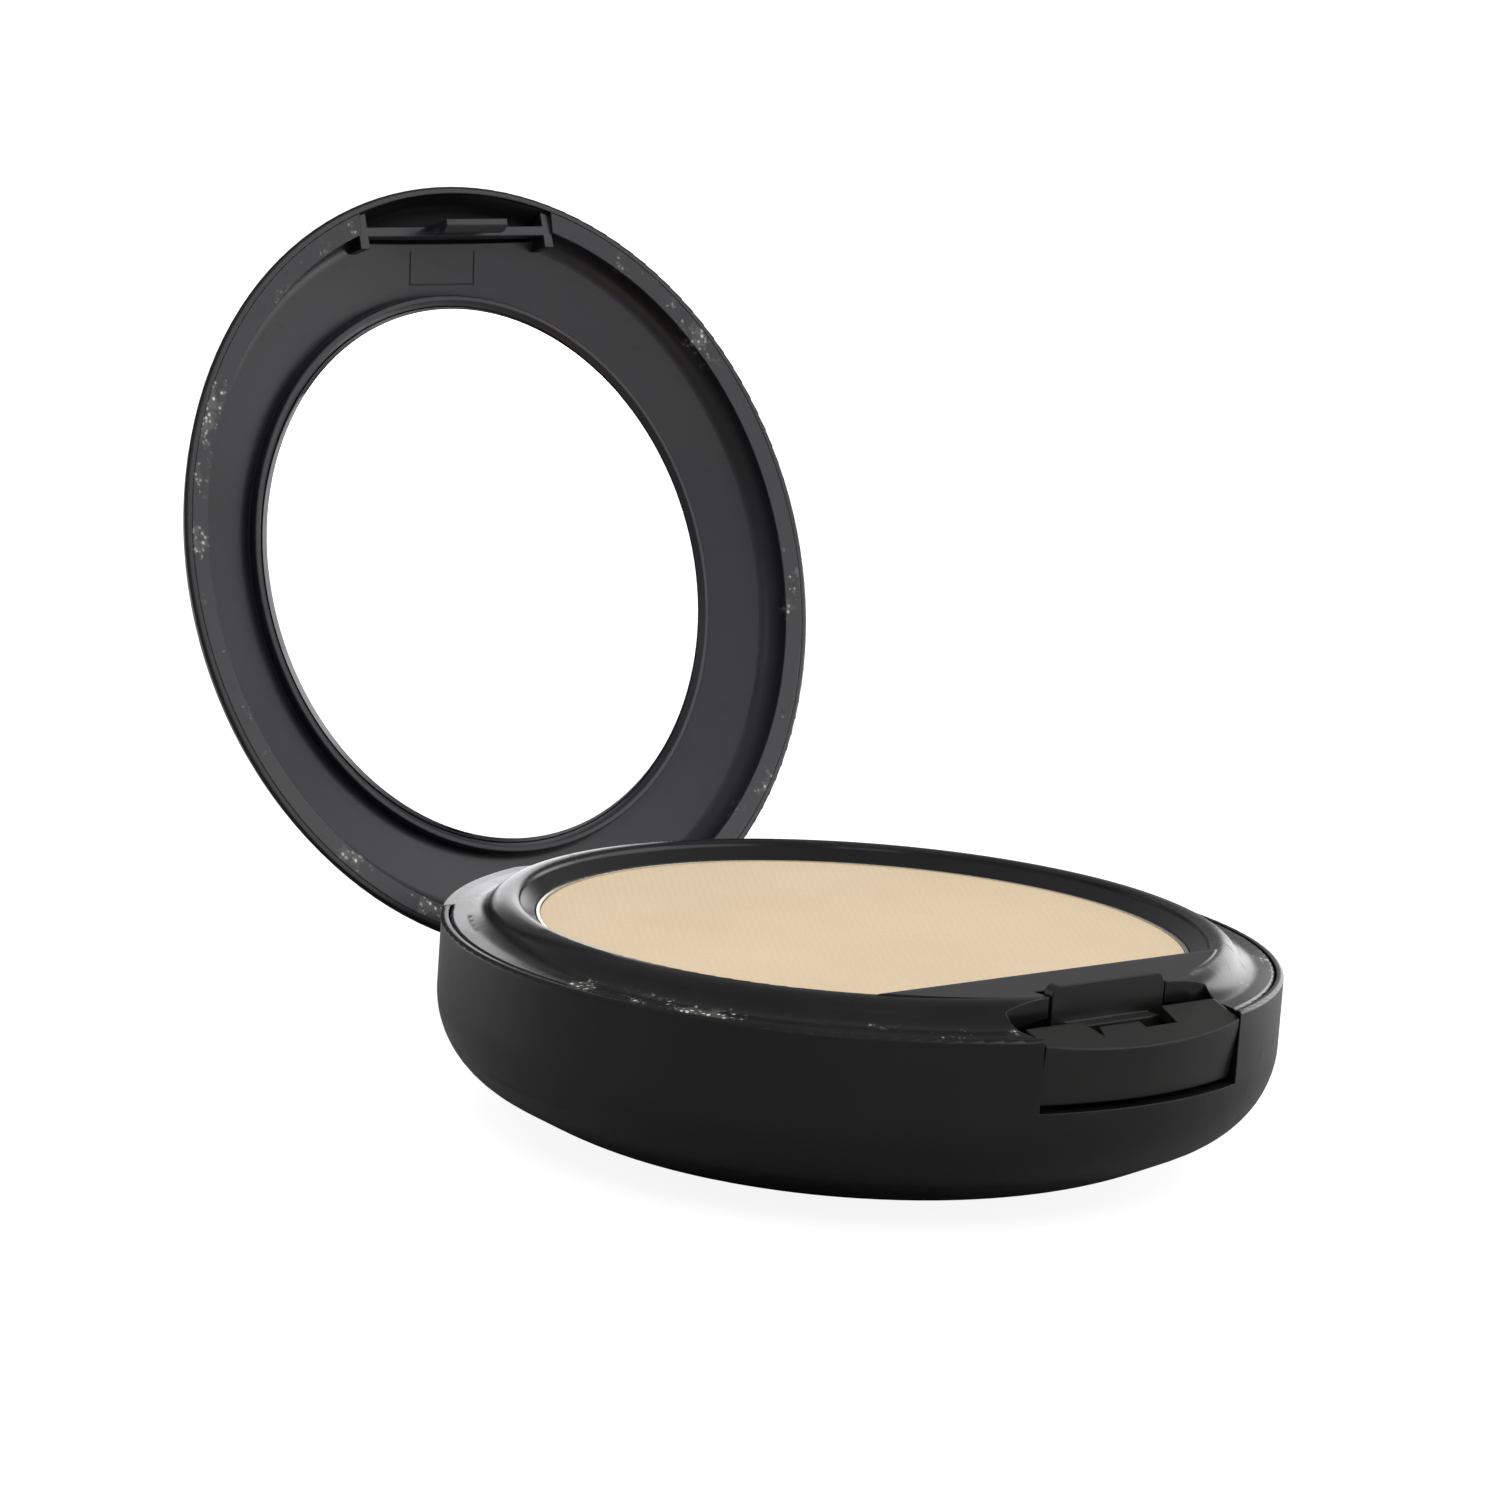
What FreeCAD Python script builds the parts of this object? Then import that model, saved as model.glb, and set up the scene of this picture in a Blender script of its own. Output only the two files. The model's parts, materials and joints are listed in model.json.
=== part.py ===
"""Round powder compact with a mirror lid, a hinged powder tray and a sponge well under it.

Millimetres. Origin at the centre of the flat foot, +Z up, the push button at the front (-Y) and
the hinge at the back (+Y). Everything is drawn closed, then the lid parts are swung open about
the hinge pin to the pose that the part is stored in.
"""
import FreeCAD
import Part
import math
import os

# ---- driving dimensions -------------------------------------------------------------------
BOWL_R = 38.0            # outside radius of the base bowl
RIM_Z = 18.25            # top edge of the bowl
FOOT_R = 19.0            # flat foot under the bowl
DISH_R = 25.0            # big radius from the foot to the sloping underside
DISH_ANGLE = 27.0        # slope of the underside, degrees
SIDE_R = 8.5             # radius from the sloping underside up to the side wall
WALL = 1.6               # moulded wall of the bowl
REBATE_R = 37.35         # inside of the thin rim that the tray drops into
LEDGE_Z = 16.05          # ledge that the tray rests over

HINGE_Y = 35.75
HINGE_Z = 12.0
LID_OPEN = 109.6         # how far the stored pose holds the lid open, degrees
PIN_R = 0.7
KNUCKLE_R = 2.1
PIN_FIT = 0.05           # radial clearance of a knuckle on the pin
REAR_Y = 25.7            # the tray covers the bowl's rim behind this line
REAR_RIM_Z = 16.0
REAR_RELIEF = 0.5        # how far behind the pin the tray reaches, so that the lid swings clear
EDGE_R = 0.3             # rounding of the rims

PAN_R = 29.5             # standard 59 mm pan
PAN_FLAT_Y = -24.0       # straight front edge of the pan
PAN_TOP = 18.9
PAN_DEPTH = 4.6
PAN_WALL = 0.3
TRAY_R = 37.2
TRAY_LAND = (35.7, 0.08) # inner edge of the tray's flat land, above the rim
FOOT_BEND_R = 2.26       # hollow radius from the land up to the shoulder
CREST_R = 31.9           # highest ring of the tray
CREST_RISE = 2.15        # its height over the rim
SHOULDER_R = 2.26        # rounded shoulder outside the crest
BEND_ANGLE = 57.2        # steepest slope between the two
LIP_R = 31.0
LIP_RISE = 2.0
RIDGE_RISE = 2.3         # ridge along the pan's straight edge
TRAY_FLOOR_Z = 14.1      # top of the tray's floor
TRAY_WALL = 1.2
RECESS_X = 12.0          # half width of the latch recess
RECESS_Y = -31.4         # its back wall
SLOT_X = 7.0             # slot in that wall for the catch block
SLOT_Y = -29.4
RELIEF_Y = -25.8         # hollow under the tray for the button's plate and spring
RELIEF_Z = 17.6

BUTTON_X = 11.6          # half width of the push button
WINDOW_X = 11.8
WINDOW_Z = 11.8          # bottom of the window in the bowl
BUTTON_Z = 12.3          # bottom edge of the button
BUTTON_TRAVEL = 0.8

LID_GAP = 0.12           # between the closed lid and the rim
LID_R = 37.55
LID_HEIGHT = 8.4
LID_POWER = 8.0          # fullness of the dome
LINER_R = 36.8
MIRROR_R = 26.4
MIRROR_DEPTH = 3.45      # mirror face above the lid's rim plane
MIRROR_THICK = 1.2
TAPE_THICK = 0.2

LID_Z = RIM_Z + LID_GAP
V = FreeCAD.Vector


# ---- small helpers ------------------------------------------------------------------------
def outline(start, *steps):
    """Closed wire in the XZ plane: a step is an end point, or (point on the arc, end point)."""
    here, edges = V(start[0], 0, start[1]), []
    for step in steps + (start,):
        if isinstance(step[0], tuple):
            middle, end = (V(p[0], 0, p[1]) for p in step)
            edges.append(Part.Arc(here, middle, end).toShape())
        else:
            end = V(step[0], 0, step[1])
            if end.distanceToPoint(here) > 1e-6:
                edges.append(Part.makeLine(here, end))
        here = end
    return Part.Wire(edges)


def turned(wire):
    """Solid of revolution about Z."""
    return Part.Face(wire).revolve(V(0, 0, 0), V(0, 0, 1), 360)


def disc(radius, low, high, y=0.0):
    return Part.makeCylinder(radius, high - low, V(0, y, low))


def box(x, y, z):
    return Part.makeBox(x[1] - x[0], y[1] - y[0], z[1] - z[0], V(x[0], y[0], z[0]))


def both_sides(make, low, high):
    """The same box-like piece at +X and at -X."""
    return make(low, high).fuse(make(-high, -low))


def prism(points, x):
    """Prism along X from x[0] to x[1] of a polygon in (y, z)."""
    corners = [V(x[0], p[0], p[1]) for p in points]
    return Part.Face(Part.makePolygon(corners + corners[:1])).extrude(V(x[1] - x[0], 0, 0))


def barrel(radius, x):
    """Cylinder along the hinge axis."""
    return Part.makeCylinder(radius, x[1] - x[0], V(x[0], HINGE_Y, HINGE_Z), V(1, 0, 0))


def pin_hole(x, clearance=0.0):
    return barrel(PIN_R + clearance, x)


def swing_open(shape):
    shape = shape.copy()
    shape.rotate(V(0, HINGE_Y, HINGE_Z), V(-1, 0, 0), LID_OPEN)
    return shape


def polar(centre, radius, angle):
    a = math.radians(angle)
    return (centre[0] + radius * math.cos(a), centre[1] + radius * math.sin(a))


def round_edge(corner, radius, side=1):
    """Arc step that rounds a profile's outer corner: side 1 is an upper corner, -1 a lower one."""
    centre = (corner[0] - radius, corner[1] - side * radius)
    ends = ((corner[0] - radius, corner[1]), (corner[0], corner[1] - side * radius))
    return (polar(centre, radius, 45 * side), ends[0] if side > 0 else ends[1])


# ---- base bowl ----------------------------------------------------------------------------
def bowl_outline(inset):
    """Bowl profile moved inwards by a wall thickness."""
    steep = math.radians(DISH_ANGLE)
    dish = (FOOT_R, DISH_R)
    dish_end = polar(dish, DISH_R - inset, DISH_ANGLE - 90)
    side_r = BOWL_R - SIDE_R
    cone_r = side_r + SIDE_R * math.sin(steep)
    cone_end = polar(dish, DISH_R, DISH_ANGLE - 90)
    cone_z = cone_end[1] + (cone_r - cone_end[0]) * math.tan(steep)
    side = (side_r, cone_z + SIDE_R * math.cos(steep))
    side_start = polar(side, SIDE_R - inset, DISH_ANGLE - 90)
    return outline(
        (0, inset), (FOOT_R, inset),
        (polar(dish, DISH_R - inset, DISH_ANGLE / 2 - 90), dish_end),
        side_start,
        (polar(side, SIDE_R - inset, DISH_ANGLE / 2 - 45), (BOWL_R - inset, side[1])),
        (BOWL_R - inset, RIM_Z - EDGE_R), round_edge((BOWL_R - inset, RIM_Z), EDGE_R), (0, RIM_Z))


SPONGE_R = 26.0
SPONGE_LOW = 3.0
SPONGE_HIGH = 11.0
SHELF_END = -26.4        # back edge of the shelf that the button slides on
SHELF_LOW = 10.7
SHELF_TOP = WINDOW_Z
RAIL_TOP = 15.9
EAR_X = (7.7, 9.9)
NOTCH_X = 7.5            # half width of the hinge notch in the back wall
NOTCH_Z = 7.0
LABEL_R = 15.0
LABEL_THICK = 0.1


def button_shelf(cavity):
    """Shelf, side rails and spring stops behind the button window."""
    shelf = box((-13.1, 13.1), (-BOWL_R, SHELF_END), (SHELF_LOW, SHELF_TOP))
    rail = both_sides(lambda a, b: box((a, b), (-BOWL_R, SHELF_END), (SHELF_LOW, RAIL_TOP)), 12.0, 13.1)
    stop = both_sides(lambda a, b: box((a, b), (SHELF_END - 0.9, SHELF_END), (SHELF_LOW, RAIL_TOP)), 6.6, 9.4)
    return shelf.fuse([rail, stop]).common(cavity)


def hinge_ears(cavity_wall):
    """Two ears that hold the ends of the hinge pin, tied into the back wall."""
    ears = []
    for low, high in (EAR_X, (-EAR_X[1], -EAR_X[0])):
        tie = box((low, high), (HINGE_Y - KNUCKLE_R, HINGE_Y + 1.6), (8.6, HINGE_Z))
        ears.append(barrel(KNUCKLE_R, (low, high)).fuse(tie))
    return ears[0].fuse(ears[1]).common(cavity_wall)


def base_shell():
    outside = turned(bowl_outline(0.0))
    cavity = turned(bowl_outline(WALL))
    shell = outside.cut(cavity)
    shell = shell.cut(disc(REBATE_R, LEDGE_Z, RIM_Z + 1))
    shell = shell.cut(box((-40, 40), (REAR_Y, 40), (REAR_RIM_Z, RIM_Z + 1)))
    ribs = []
    for k in range(8):
        rib = box((8.0, 24.5), (-0.5, 0.5), (WALL - 0.3, SPONGE_LOW))
        rib.rotate(V(0, 0, 0), V(0, 0, 1), 22.5 + 45 * k)
        ribs.append(rib)
    shell = shell.fuse(ribs).fuse(button_shelf(turned(bowl_outline(WALL / 2))))
    shell = shell.fuse(hinge_ears(turned(bowl_outline(0.3))))
    shell = shell.cut(box((-NOTCH_X, NOTCH_X), (30, 40), (NOTCH_Z, RIM_Z + 1)))
    shell = shell.cut(box((-WINDOW_X, WINDOW_X), (-40, -BOWL_R + 4), (WINDOW_Z, RIM_Z + 1)))
    shell = shell.cut(disc(LABEL_R + 0.2, -1, LABEL_THICK))
    return shell.cut(pin_hole((-EAR_X[1], EAR_X[1]))).removeSplitter()


# ---- tray, pan and powder ----------------------------------------------------------------
def d_shape(radius, flat_y, low, high):
    """Disc with a straight front edge."""
    return disc(radius, low, high).common(box((-40, 40), (flat_y, 40), (low, high)))


def ring_outline():
    """Section of the tray's ring: land, hollow bend, rounded shoulder, crest and lip."""
    bend = (TRAY_LAND[0], RIM_Z + TRAY_LAND[1] + FOOT_BEND_R)
    shoulder = (CREST_R, RIM_Z + CREST_RISE - SHOULDER_R)
    lip_z = RIM_Z + LIP_RISE
    bottom = TRAY_FLOOR_Z - TRAY_WALL
    return outline(
        (0, bottom), (LIP_R, bottom), (LIP_R, 17.6), (32.2, 18.5), (34.6, 17.0), (36.0, 17.0),
        (36.0, 16.3), (36.2, 16.3), (TRAY_R, RIM_Z - EDGE_R), round_edge((TRAY_R, RIM_Z), EDGE_R),
        (bend[0], RIM_Z + TRAY_LAND[1]),
        (polar(bend, FOOT_BEND_R, -90 - BEND_ANGLE / 2), polar(shoulder, SHOULDER_R, 90 - BEND_ANGLE)),
        (polar(shoulder, SHOULDER_R, 90 - BEND_ANGLE / 2), (CREST_R, RIM_Z + CREST_RISE)),
        ((31.4, lip_z + 0.07), (LIP_R + 0.12, lip_z - 0.12)), (LIP_R, lip_z - 0.4), (0, lip_z - 0.4))


def front_deck():
    """Solid deck between the ring and the pan's straight edge, rounded along its ridge."""
    ridge = RIM_Z + RIDGE_RISE
    low = TRAY_FLOOR_Z - TRAY_WALL
    back = PAN_FLAT_Y - 0.1
    section = [(-40, low), (-40, RIM_Z + CREST_RISE - 0.02), (-30, RIM_Z + CREST_RISE + 0.01),
               (back - 1.0, ridge), (back - 0.5, ridge - 0.02), (back - 0.15, ridge - 0.17), (back, ridge - 0.5),
               (back, low)]
    return prism(section, (-40, 40)).common(disc(CREST_R - 0.05, 0, 30))


def powder_tray():
    well_r = PAN_R + 0.1
    lip_z = RIM_Z + LIP_RISE
    tail = (REAR_Y + 0.1, HINGE_Y + REAR_RELIEF)
    rear = disc(BOWL_R, 16.5, RIM_Z).cut(disc(35.5, 0, 30)).common(box((-40, 40), tail, (0, 30)))
    tray = turned(ring_outline()).fuse([front_deck(), rear])
    well = d_shape(well_r, PAN_FLAT_Y - 0.1, TRAY_FLOOR_Z, PAN_TOP + 0.1)
    mouth = turned(outline(
        (0, PAN_TOP), (well_r, PAN_TOP), (LIP_R, lip_z - 0.4), (LIP_R + 0.02, 25), (0, 25)))
    mouth = mouth.common(box((-40, 40), (PAN_FLAT_Y - 0.1, 40), (0, 30)))
    hollows = [
        well, mouth,
        box((-RECESS_X, RECESS_X), (-40, RECESS_Y), (0, 30)),
        box((-SLOT_X, SLOT_X), (-40, SLOT_Y), (0, 30)),
        box((-RECESS_X - 1.5, RECESS_X + 1.5), (-40, RELIEF_Y), (0, RELIEF_Z)),
        box((-40, 40), (tail[1], 40), (0, 30)),
        box((3.05, NOTCH_X + 0.05), (33.2, 40), (0, 30)),
        box((-NOTCH_X - 0.05, -3.05), (33.2, 40), (0, 30))]
    for hollow in hollows:
        tray = tray.cut(hollow)
    knuckle = barrel(KNUCKLE_R, (-3.0, 3.0))
    arm = box((-3.0, 3.0), (HINGE_Y - KNUCKLE_R, tail[1]), (HINGE_Z, 17.4))
    return tray.fuse([knuckle, arm]).cut(pin_hole((-4, 4), PIN_FIT)).removeSplitter()


def pan():
    low = PAN_TOP - PAN_DEPTH
    outer = d_shape(PAN_R, PAN_FLAT_Y, low, PAN_TOP)
    inner = d_shape(PAN_R - PAN_WALL, PAN_FLAT_Y + PAN_WALL, low + PAN_WALL, PAN_TOP + 1)
    return outer.cut(inner)


def powder_cake():
    low = PAN_TOP - PAN_DEPTH + PAN_WALL
    radius = PAN_R - PAN_WALL
    cake = d_shape(radius, PAN_FLAT_Y + PAN_WALL, low, PAN_TOP - 0.05)
    top = [e for e in cake.Edges if abs(e.BoundBox.ZMin - cake.BoundBox.ZMax) < 1e-6]
    return cake.makeFillet(0.2, top)


def pan_adhesive():
    return d_shape(PAN_R - 4, PAN_FLAT_Y + 4, TRAY_FLOOR_Z, PAN_TOP - PAN_DEPTH)


def sponge():
    pad = disc(SPONGE_R, SPONGE_LOW, SPONGE_HIGH, 0.4)
    rims = [e for e in pad.Edges if e.BoundBox.ZLength < 1e-6]
    return pad.makeFillet(1.4, rims)


def base_label():
    return disc(LABEL_R, 0, LABEL_THICK)


# ---- push button --------------------------------------------------------------------------
FLANGE_FRONT_Z = 17.0    # top edge of the button at its middle
FLANGE_SLOPE = 0.34      # rise of the button's top towards the back
FACE_SET_IN = 0.75       # how far the button's bottom edge stands back from the bowl
CATCH_Y = (-31.5, -30.4) # catch block, front and back
CATCH_TOP = 21.3
CATCH_X = 6.7
LIP_Y = -32.95           # front of the lip under which the hook snaps
LIP_Z = (16.95, 17.95)
SKID_Z = SHELF_TOP + 0.05
PLATE_Z = (12.6, 13.6)
SPRING_Z = 14.0


def flange_outline():
    """Edge of the button's top, seen from above, with its two notches."""
    return [(-BUTTON_X, -40), (-BUTTON_X, -33.5), (-5.1, -33.5), (-4.5, -35.9), (-3.9, -34.5),
            (0.9, -34.5), (0.9, -35.4), (4.7, -35.4), (5.1, -32.9), (BUTTON_X, -32.9), (BUTTON_X, -40)]


def push_button():
    face = turned(outline((0, BUTTON_Z), (BOWL_R - FACE_SET_IN, BUTTON_Z), (BOWL_R - 0.05, FLANGE_FRONT_Z),
                          (BOWL_R - 0.05, 22), (0, 22)))

    def top_z(y):
        return FLANGE_FRONT_Z + FLANGE_SLOPE * (y + BOWL_R)

    below_top = prism([(-40, 0), (-40, top_z(-40)), (-25, top_z(-25)), (-25, 0)], (-BUTTON_X, BUTTON_X))
    body = face.common(below_top)
    skin = body.cut(disc(36.4, 0, 30)).common(box((-BUTTON_X, BUTTON_X), (-40, -33), (BUTTON_Z, 30)))
    corners = [V(x, y, 0) for x, y in flange_outline()]
    slab = Part.Face(Part.makePolygon(corners + corners[:1])).extrude(V(0, 0, 30))
    under = prism([(-40, 0), (-40, top_z(-40) - 1.1), (-25, top_z(-25) - 1.1), (-25, 0)],
                  (-BUTTON_X, BUTTON_X))
    flange = body.common(slab).cut(under)
    plate = box((-11.4, 11.4), (-36.9, CATCH_Y[1]), PLATE_Z).common(disc(37.0, 0, 30))
    skids = both_sides(lambda a, b: box((a, b), (-34, CATCH_Y[1]), (SKID_Z, PLATE_Z[0])), 8.4, 9.6)
    gussets = both_sides(lambda a, b: box((a, b), (-36.5, -33.4), (PLATE_Z[0], 17.4)), 10.2, 11.4)
    gussets = gussets.common(disc(37.0, 0, 30)).cut(
        prism([(-40, 30), (-40, top_z(-40) - 0.5), (-25, top_z(-25) - 0.5), (-25, 30)], (-12, 12)))
    catch = box((-CATCH_X, CATCH_X), CATCH_Y, (PLATE_Z[0], CATCH_TOP))
    upright = [e for e in catch.Edges if e.BoundBox.YLength > 1 and e.BoundBox.ZMin > CATCH_TOP - 0.1]
    catch = catch.makeFillet(0.9, upright)
    lip = box((-5, 5), (LIP_Y, CATCH_Y[0]), LIP_Z)
    return skin.fuse([flange, plate, skids, gussets, catch, lip]).removeSplitter()


def button_spring():
    """Bowed steel strip between the catch block and the two stops on the shelf."""
    ends_y = SHELF_END - 0.9 - 0.02
    peak_y = CATCH_Y[1] + 0.02
    strip = 0.2

    def bow(offset):
        return Part.Arc(V(-8.4, ends_y - offset, SPRING_Z), V(0, peak_y + strip - offset, SPRING_Z),
                        V(8.4, ends_y - offset, SPRING_Z)).toShape()

    front, back = bow(strip), bow(0.0)
    sides = [Part.makeLine(V(x, ends_y - strip, SPRING_Z), V(x, ends_y, SPRING_Z)) for x in (-8.4, 8.4)]
    face = Part.Face(Part.Wire(Part.__sortEdges__([front, back] + sides)))
    return face.extrude(V(0, 0, 1.8))


# ---- lid ----------------------------------------------------------------------------------
LATCH_RIB_X = 10.75        # inner face of the two ribs beside the latch
LATCH_TOP = LID_Z + 0.45   # lower edge of the ribs, the bar and the hook's root
POCKET_Y = -32.5
RIB_END = -31.5            # the ribs run on over the liner's flat ring
INSERT_X = 3.9             # faint joint lines of the mould's insert behind the hook
INSERT_Y = -28.6
POCKET_X = 11.75           # half width of the pocket round the ribs
BAR_Y = (-33.6, -32.7)
HOOK_X = 3.7
HOOK_TIP = 15.4
HOOK_TOP = 16.75           # top of the barb, under the catch's lip
COVE = (32.9, 0.8)         # centre of the cove under the lid's rim
COVE_R = 2.0
COVE_ANGLE = 74.0
LID_ARM_X = (3.3, 7.2)
COLLAR_R = 27.5            # collar that holds the mirror
LINER_SKIN = 0.6


def dome(radius, height, low):
    """Curved top of the lid: height falls as a power of the radius."""
    def z(r):
        return low + height * (1 - (r / radius) ** LID_POWER)

    count = 12
    curve = Part.BSplineCurve()
    radii = [radius * (1 - (1 - k / count) ** 2) for k in range(count + 1)][::-1]
    curve.interpolate([V(r, 0, z(r)) for r in radii])
    edges = [curve.toShape(), Part.makeLine(V(0, 0, low + height), V(0, 0, low)),
             Part.makeLine(V(0, 0, low), V(radius, 0, low))]
    return turned(Part.Wire(edges))


def lid_shell():
    rim = turned(outline((0, LID_Z), (LID_R - EDGE_R, LID_Z), round_edge((LID_R, LID_Z), EDGE_R, -1),
                         (LID_R, LID_Z + 0.3), (0, LID_Z + 0.3)))
    outer = dome(LID_R, LID_HEIGHT, LID_Z + 0.3).fuse(rim)
    hollow = dome(LINER_R + 0.05, LID_HEIGHT - 0.9, LID_Z + 0.3)
    hollow = hollow.fuse(disc(LINER_R + 0.05, LID_Z - 1, LID_Z + 0.3))
    return outer.cut(hollow).removeSplitter()


def lid_point(point):
    """A (radius, depth) point of the lid, as (radius, z)."""
    return (point[0], LID_Z + point[1])


def liner_face():
    """Lower face of the liner as (radius, depth) steps: rim land, cove and shallow cone."""
    cove_end = polar(COVE, COVE_R, COVE_ANGLE)
    cone_depth = cove_end[1] + (cove_end[0] - COLLAR_R) / math.tan(math.radians(COVE_ANGLE))
    return [(COVE[0] + COVE_R, 0.2), (COVE[0] + COVE_R, COVE[1]),
            (polar(COVE, COVE_R, COVE_ANGLE / 2), cove_end), (COLLAR_R, cone_depth)]


def lid_steps(steps):
    """Steps in (radius, depth) of the lid, as steps in (radius, z)."""
    return [tuple(map(lid_point, step)) if isinstance(step[0], tuple) else lid_point(step)
            for step in steps]


def liner_outline():
    """The liner's lower face, the mirror collar and the web behind the mirror."""
    face = liner_face()
    cone_depth = face[-1][1]
    ledge = MIRROR_DEPTH - 0.1
    back = MIRROR_DEPTH + MIRROR_THICK + TAPE_THICK
    steps = face + [
        (COLLAR_R, ledge + 0.15), ((COLLAR_R - 0.05, ledge + 0.05), (COLLAR_R - 0.15, ledge)),
        (COLLAR_R - 0.5, ledge), (MIRROR_R + 0.1, MIRROR_DEPTH + 0.35), (MIRROR_R + 0.1, back),
        (0, back), (0, back + 0.8), (COLLAR_R + 0.3, back + 0.8), (COLLAR_R + 0.5, cone_depth + 0.7),
        polar(COVE, COVE_R + LINER_SKIN, COVE_ANGLE),
        (polar(COVE, COVE_R + LINER_SKIN, COVE_ANGLE / 2), (COVE[0] + COVE_R + LINER_SKIN, COVE[1])),
        (LINER_R - 0.6, 0.7), (LINER_R, 0.3)]
    return outline(lid_point((LINER_R, 0)), *lid_steps(steps))


def below_liner(raised):
    """Space under the liner's face, or under its parallel a little way inside the liner."""
    steps = [(COVE[0] + COVE_R, -1)] + liner_face() + [(0, liner_face()[-1][1])]
    space = turned(outline(lid_point((0, -1)), *lid_steps(steps)))
    space.translate(V(0, 0, raised))
    return space


def insert_lines():
    """Fine grooves round the mould's insert."""
    width, depth = 0.12, 0.07
    lines = [box((x - width / 2, x + width / 2), (POCKET_Y, INSERT_Y), (LID_Z, LID_Z + 9))
             for x in (-INSERT_X, INSERT_X)]
    across = box((-INSERT_X, INSERT_X), (INSERT_Y - width, INSERT_Y), (LID_Z, LID_Z + 9))
    return across.fuse(lines).common(below_liner(depth))


def latch():
    """Ribs, bar and hook that drop behind the button's top."""
    inside = dome(LINER_R, LID_HEIGHT - 0.9, LID_Z + 0.25).fuse(disc(LINER_R, LID_Z, LID_Z + 0.25))
    ribs = both_sides(lambda a, b: box((a, b), (-37, RIB_END), (LATCH_TOP, LID_Z + 3.6)),
                      LATCH_RIB_X, POCKET_X + 0.05)
    back_wall = box((-POCKET_X, POCKET_X), (POCKET_Y, POCKET_Y + 0.7), (LID_Z, LID_Z + 4.6))
    back_wall = back_wall.cut(below_liner(0.0))
    bar = box((-POCKET_X, POCKET_X), BAR_Y, (LATCH_TOP, LID_Z + 2.0))
    frame = ribs.fuse([bar, back_wall]).common(inside)
    front, back = BAR_Y[0], BAR_Y[0] + 0.5
    root = LATCH_TOP + 1.0
    hook = prism([(front, root), (front, HOOK_TIP), (back + 0.1, HOOK_TIP), (back + 0.6, HOOK_TIP + 0.7),
                  (back + 0.6, HOOK_TOP), (back, HOOK_TOP), (back, root)], (-HOOK_X, HOOK_X))
    return frame.fuse(hook)


def lid_liner():
    ring = turned(liner_outline())
    pocket = box((-POCKET_X, POCKET_X), (-40, POCKET_Y), (LID_Z - 1, LID_Z + 9))
    liner = ring.cut(pocket).cut(insert_lines()).fuse(latch())
    arms = []
    for low, high in (LID_ARM_X, (-LID_ARM_X[1], -LID_ARM_X[0])):
        arm = box((low, high), (HINGE_Y - 2.0, HINGE_Y + 0.6), (HINGE_Z, LID_Z + 0.7))
        inside_shell = disc(LINER_R, LID_Z - 0.1, LID_Z + 1).fuse(disc(BOWL_R, 0, LID_Z - 0.1))
        arms += [arm.common(inside_shell), barrel(KNUCKLE_R, (low, high))]
    return liner.fuse(arms).cut(pin_hole((-8, 8), PIN_FIT)).removeSplitter()


def mirror():
    low = LID_Z + MIRROR_DEPTH
    glass = disc(MIRROR_R, low, low + MIRROR_THICK)
    edge = [e for e in glass.Edges if abs(e.BoundBox.ZMax - low) < 1e-6]
    return glass.makeChamfer(0.3, edge)


def mirror_tape():
    low = LID_Z + MIRROR_DEPTH + MIRROR_THICK
    return disc(MIRROR_R - 2, low, low + TAPE_THICK)


def hinge_pin():
    return barrel(PIN_R, (-EAR_X[1], EAR_X[1]))


# ---- write one file per piece -----------------------------------------------------------
BASE_PIECES = [base_shell, base_label, powder_tray, pan, powder_cake, pan_adhesive, sponge,
               push_button, button_spring, hinge_pin]
LID_PIECES = [lid_shell, lid_liner, mirror, mirror_tape]


def main():
    os.makedirs("parts", exist_ok=True)
    for make in BASE_PIECES + LID_PIECES:
        shape = make()
        if make in LID_PIECES:
            shape = swing_open(shape)
        solids = shape.Solids
        print(make.__name__, "valid" if shape.isValid() else "NOT VALID", len(solids), "solid",
              round(shape.Volume, 1), "mm3")
        whole = solids[0] if len(solids) == 1 else shape
        whole.exportStep("parts/" + make.__name__ + ".step")


main()
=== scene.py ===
# %% [markdown]
# # A powder compact, open on a table
#
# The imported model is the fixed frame: every hard piece of the compact is already in it, at its real
# size in metres. This script gives those pieces their finishes, and builds by hand what a modeller
# would not cut from a solid: the pressed powder with its cloth imprint and its used hollow, and the
# soft velour puff in the well under the tray.

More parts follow.
